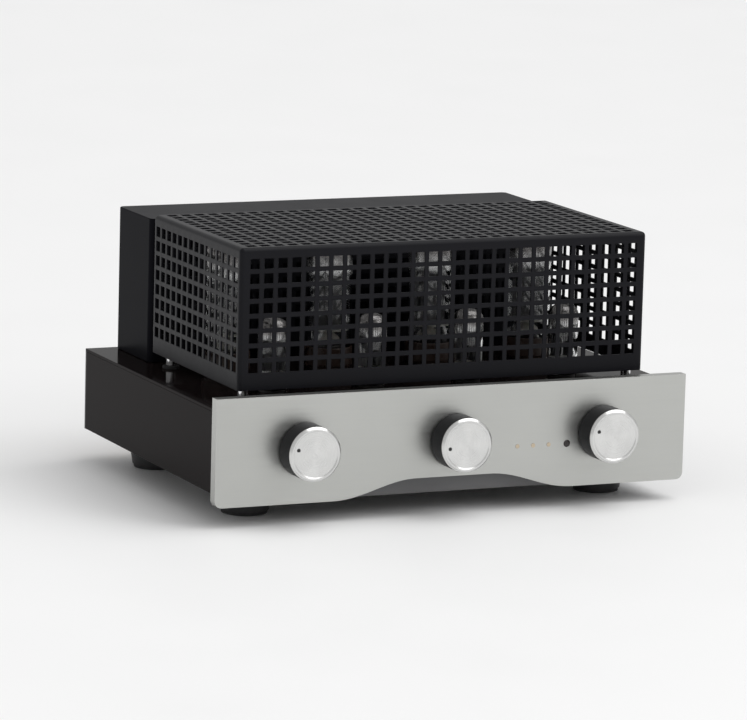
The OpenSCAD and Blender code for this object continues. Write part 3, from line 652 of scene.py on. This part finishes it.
def perforate(mesh, outer, inner, is_hole, wrap):
    """Joins two grids of points into a sheet, with a way through wherever a cell is a hole."""
    for i in range(len(outer) if wrap else len(outer) - 1):
        a, b = i, (i + 1) % len(outer)
        for j in range(len(outer[0]) - 1):
            ring = [(a, j), (b, j), (b, j + 1), (a, j + 1)]
            if is_hole(i, j):
                for (p, q), (s, t) in zip(ring, ring[1:] + ring[:1]):
                    mesh.faces.new((outer[p][q], inner[p][q], inner[s][t], outer[s][t]))
            else:
                mesh.faces.new([outer[p][q] for p, q in ring])
                mesh.faces.new([inner[p][q] for p, q in reversed(ring)])


def cage_stations(xs, ys):
    """Places round the cage's walls: fold centre, outward direction, and whether a hole starts there."""
    walls = (
        ([(x, ys[0]) for x in xs], -90),
        ([(xs[-1], y) for y in ys], 0),
        ([(x, ys[-1]) for x in reversed(xs)], 90),
        ([(xs[0], y) for y in reversed(ys)], 180),
    )
    stations = []
    for centres, heading in walls:
        for i, centre in enumerate(centres):
            stations.append((centre, heading, i % 2 == 1 and i < len(centres) - 1))
        for step in range(1, FOLD_STEPS):
            stations.append((centres[-1], heading + 90 * step / FOLD_STEPS, False))
    return stations


def folded_cage():
    """The cage's walls and top as one perforated sheet, folded round along every edge."""
    low = Vector((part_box("cage_left")[0].x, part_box("cage_front")[0].y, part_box("cage_front")[0].z))
    high = Vector((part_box("cage_right")[1].x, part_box("cage_rear")[1].y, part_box("cage_top")[1].z))
    xs = hole_lines(low.x + CAGE_FOLD, high.x - CAGE_FOLD, CAGE_COLUMNS)
    ys = hole_lines(low.y + CAGE_FOLD, high.y - CAGE_FOLD, CAGE_ROWS_DEEP)
    stations = cage_stations(xs, ys)
    levels = [(z, 0) for z in [low.z, *hole_edges(low.z + CAGE_LOWEST_ROW, CAGE_ROWS_HIGH)]]
    levels += [(high.z - CAGE_FOLD, 90 * step / FOLD_STEPS) for step in range(FOLD_STEPS + 1)]

    mesh = bmesh.new()
    walls = []
    tops = []
    for radius in (CAGE_FOLD, CAGE_FOLD - CAGE_SHEET):
        grid = []
        for (x, y), heading, _ in stations:
            out = math.radians(heading)
            column = []
            for z, bend in levels:
                reach = radius * math.cos(math.radians(bend))
                rise = radius * math.sin(math.radians(bend))
                place = Vector((x + reach * math.cos(out), y + reach * math.sin(out), z + rise))
                column.append(mesh.verts.new(place))
            grid.append(column)
        walls.append(grid)
        height = high.z - CAGE_FOLD + radius
        tops.append([[mesh.verts.new((x, y, height)) for y in ys] for x in xs])

    def wall_hole(i, j):
        return stations[i][2] and j % 2 == 1 and j < 2 * CAGE_ROWS_HIGH

    perforate(mesh, walls[0], walls[1], wall_hole, True)
    perforate(mesh, tops[0], tops[1], lambda i, j: i % 2 == 1 and j % 2 == 1, False)
    for i in range(len(stations)):
        a, b = i, (i + 1) % len(stations)
        mesh.faces.new((walls[0][a][0], walls[1][a][0], walls[1][b][0], walls[0][b][0]))
    cage = finish_piece("folded_cage", mesh, FINISHES["cage_black"], "cage")
    bevel = cage.modifiers.new("bevel", "BEVEL")
    bevel.width = 0.15 * MM
    bevel.segments = 1
    bevel.limit_method = "ANGLE"
    bevel.angle_limit = math.radians(60)
    cage.modifiers.new("normals", "WEIGHTED_NORMAL")
    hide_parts(*CAGE_PANELS)


# ---- Rear ----

PHONO_COLUMNS = 5
PHONO_RING = (6.35 * MM, 7.7 * MM)
PRINT_LINE = 0.45 * MM
PRINT_PROUD = 0.04 * MM


def phono_rings():
    """Coloured plastic rings round the phono sockets: red for one channel, white for the other."""
    low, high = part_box("phono_sockets")
    washer = 6.2 * MM
    pitch = (high.x - low.x - 2 * washer) / (PHONO_COLUMNS - 1)
    xs = [low.x + washer + i * pitch for i in range(PHONO_COLUMNS)]
    inner, outer = PHONO_RING
    thick = 1.0 * MM
    bevel = 0.3 * MM
    ring = [(inner, 0), (outer, 0), (outer, thick - bevel), (outer - bevel, thick), (inner, thick)]
    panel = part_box("rear_panel")[1].y
    for name, slot, z in (("red", "cap_red", low.z + washer), ("white", "insert_white", high.z - washer)):
        mesh = bmesh.new()
        for x in xs:
            turned(mesh, ring, Vector((x, panel, z)), steps=40, axis=Vector((0, 1, 0)))
        finish_piece("phono_rings_" + name, mesh, FINISHES[slot], "chassis")


def printed_line(mesh, start, end, panel):
    """Adds a straight ink line between two (x, z) points on the rear panel."""
    half = PRINT_LINE / 2
    x0, x1 = sorted((start[0], end[0]))
    z0, z1 = sorted((start[1], end[1]))
    slab(mesh, (x0 - half, panel, z0 - half), (x1 + half, panel + PRINT_PROUD, z1 + half))


def rear_markings():
    """Fine printed frames that group the rear connectors."""
    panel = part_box("rear_panel")[1].y
    mesh = bmesh.new()
    low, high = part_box("phono_sockets")
    around = 3.2 * MM
    frames = [(low.x - around, high.x + around, low.z - around, high.z + around)]
    low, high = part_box("speaker_insulators")
    middle = (low.x + high.x) / 2
    split = 1.6 * MM
    frames.append((low.x - around, middle - split, low.z - around, high.z + around))
    frames.append((middle + split, high.x + around, low.z - around, high.z + around))
    for x0, x1, z0, z1 in frames:
        corners = [(x0, z0), (x1, z0), (x1, z1), (x0, z1)]
        for start, end in zip(corners, corners[1:] + corners[:1]):
            printed_line(mesh, start, end, panel)
    ink = finish_piece("rear_markings", mesh, enamel("ink_white", (0.62, 0.62, 0.60)), "chassis")


# ---- Floor, light and camera ----

def floor():
    """A wide pale floor at the feet."""
    mesh = bmesh.new()
    bmesh.ops.create_grid(mesh, x_segments=8, y_segments=8, size=12)
    data = bpy.data.meshes.new("floor")
    mesh.to_mesh(data)
    mesh.free()
    data.materials.append(pale_floor())
    piece = bpy.data.objects.new("floor", data)
    piece.location.z = -0.05 * MM
    bpy.context.scene.collection.objects.link(piece)


def softbox(name, at, aim, size, power):
    """A square area light that faces a point."""
    light = bpy.data.lights.new(name, "AREA")
    light.shape = "RECTANGLE"
    light.size, light.size_y = size
    light.energy = power
    lamp = bpy.data.objects.new(name, light)
    lamp.location = at
    lamp.rotation_euler = (Vector(aim) - Vector(at)).to_track_quat("-Z", "Y").to_euler()
    bpy.context.scene.collection.objects.link(lamp)


def lights():
    """A wide soft sun from above, a soft box to the right of the front, and a pale room."""
    sun = bpy.data.lights.new("soft_sun", "SUN")
    sun.energy = 1.5
    sun.angle = math.radians(55)
    lamp = bpy.data.objects.new("soft_sun", sun)
    lamp.rotation_euler = Vector((0.41, -0.17, 0.90)).to_track_quat("Z", "Y").to_euler()
    bpy.context.scene.collection.objects.link(lamp)
    softbox("key", (1.6, -2.2, 1.6), (0, -0.1, 0.08), (1.4, 1.2), 14)
    world = bpy.data.worlds.new("pale_room")
    world.use_nodes = True
    world.node_tree.nodes["Background"].inputs[0].default_value = (1, 1, 1, 1)
    world.node_tree.nodes["Background"].inputs[1].default_value = 0.62
    bpy.context.scene.world = world
    bpy.context.scene.view_settings.view_transform = "Standard"


def camera():
    """The view from the left of the front and a little above it, rolled slightly."""
    at = Vector((-1.390, -3.0655, 0.6834))
    aim = Vector((-0.005, 0.0, 0.086))
    data = bpy.data.cameras.new("camera")
    data.lens = 232
    data.clip_start = 0.1
    data.clip_end = 60
    view = bpy.data.objects.new("camera", data)
    roll = Matrix.Rotation(math.radians(1.55), 4, "Z")
    look = (aim - at).to_track_quat("-Z", "Y").to_matrix().to_4x4()
    view.matrix_world = Matrix.Translation(at) @ look @ roll
    bpy.context.scene.collection.objects.link(view)
    bpy.context.scene.camera = view


paint_frame()
soften_frame()
knob_marks()
power_valve_insides()
signal_valve_insides()
folded_cage()
phono_rings()
rear_markings()
floor()
lights()
camera()
